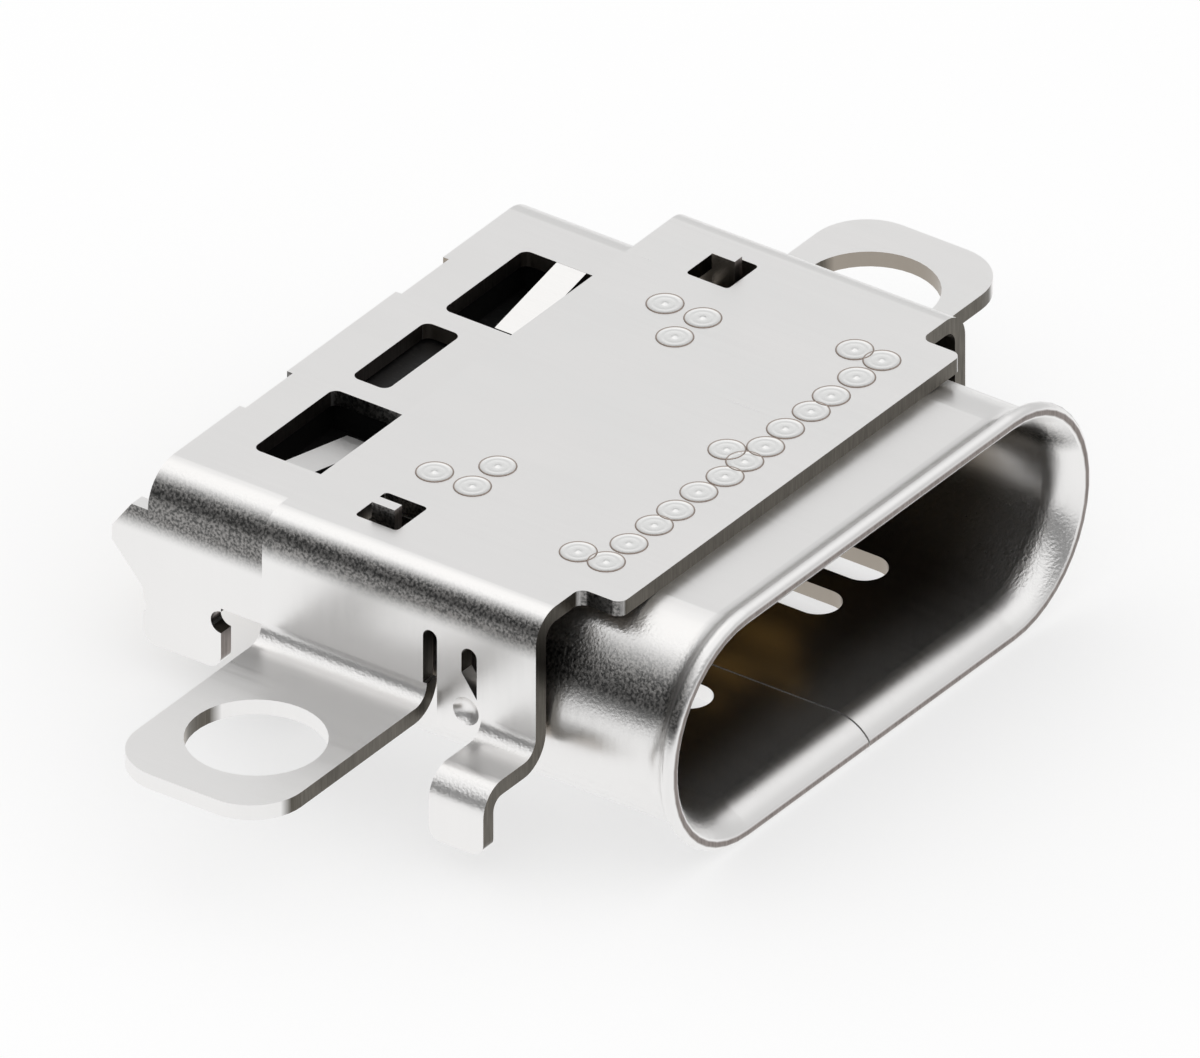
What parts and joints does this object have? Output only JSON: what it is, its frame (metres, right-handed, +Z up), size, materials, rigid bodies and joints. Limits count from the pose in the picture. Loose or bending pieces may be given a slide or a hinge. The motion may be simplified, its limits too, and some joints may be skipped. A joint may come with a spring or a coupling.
{
  "type": "usb-c socket",
  "caption": "Mid-mount USB-C socket: flared steel shell in a folded cover with screw ears, solder legs and a contact tongue inside.",
  "frame": {"origin": "midway between the two screw holes, on the ears' underside, which sits on the circuit board", "axes": "+X to the right seen from the plug's side, +Y from the mouth to the back, +Z up, away from the board"},
  "size_m": [0.0164, 0.0093, 0.0036],
  "materials": {
    "shell_steel": "satin",
    "cover_steel": "satin",
    "plate_steel": "satin",
    "black_moulding": "satin",
    "tongue_moulding": "satin",
    "contact_gold": "polished"
  },
  "bodies": {
    "root": {"inner_shell": "shell_steel", "outer_cover": "cover_steel", "housing": "black_moulding", "tongue": "tongue_moulding", "mid_plate": "plate_steel", "ground_plate_top": "plate_steel", "ground_plate_bottom": "plate_steel", "contact_a1": "contact_gold", "contact_a2": "contact_gold", "contact_a3": "contact_gold", "contact_a4": "contact_gold", "contact_a5": "contact_gold", "contact_a6": "contact_gold", "contact_a7": "contact_gold", "contact_a8": "contact_gold", "contact_a9": "contact_gold", "contact_a10": "contact_gold", "contact_a11": "contact_gold", "contact_a12": "contact_gold", "contact_b1": "contact_gold", "contact_b2": "contact_gold", "contact_b3": "contact_gold", "contact_b4": "contact_gold", "contact_b5": "contact_gold", "contact_b6": "contact_gold", "contact_b7": "contact_gold", "contact_b8": "contact_gold", "contact_b9": "contact_gold", "contact_b10": "contact_gold", "contact_b11": "contact_gold", "contact_b12": "contact_gold"}
  },
  "joints": []
}
